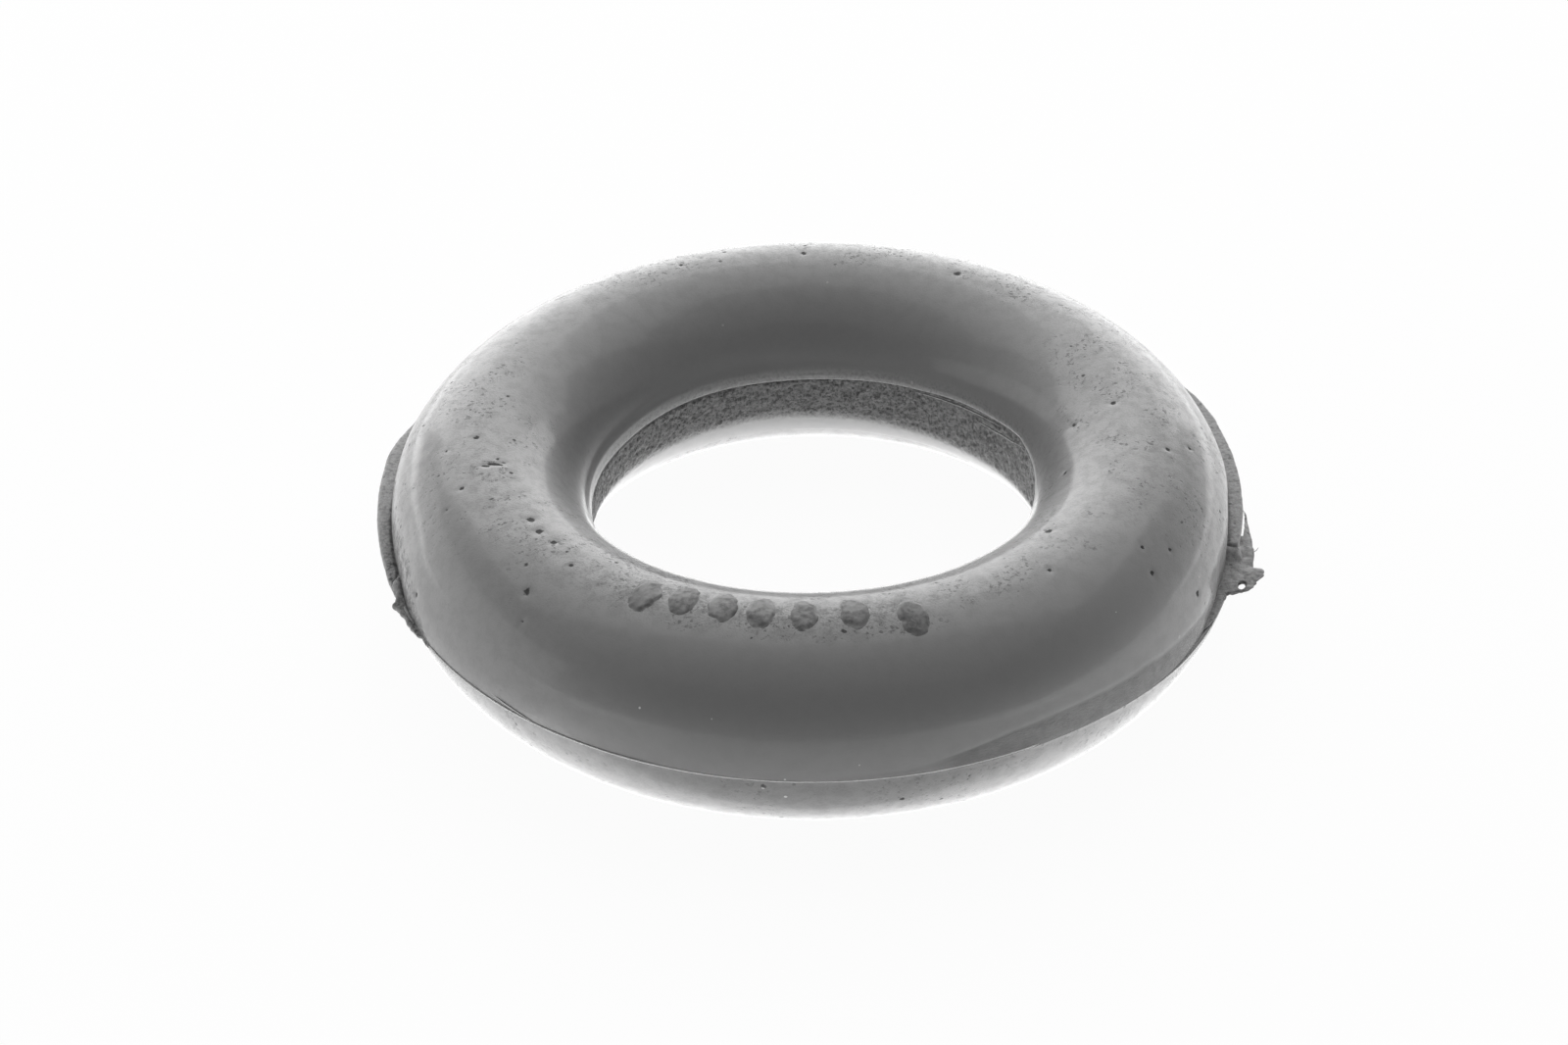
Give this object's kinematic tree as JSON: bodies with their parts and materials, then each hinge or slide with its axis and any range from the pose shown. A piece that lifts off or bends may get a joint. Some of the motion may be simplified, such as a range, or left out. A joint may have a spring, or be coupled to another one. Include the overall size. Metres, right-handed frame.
{
  "type": "exhaust hanger rubber ring",
  "caption": "Thick moulded rubber ring that hangs an exhaust pipe from a vehicle's floor hook, with parting line, trimmed lands and torn flash.",
  "frame": {"origin": "centre of the ring at mid-height", "axes": "+Z along the ring's axis, +X towards the torn flash tag, -Y towards the raised pads on the crown"},
  "size_m": [0.0646, 0.0642, 0.0161],
  "materials": {
    "rubber": "moulded satin"
  },
  "bodies": {
    "root": {"hanger_ring": "rubber"}
  },
  "joints": []
}
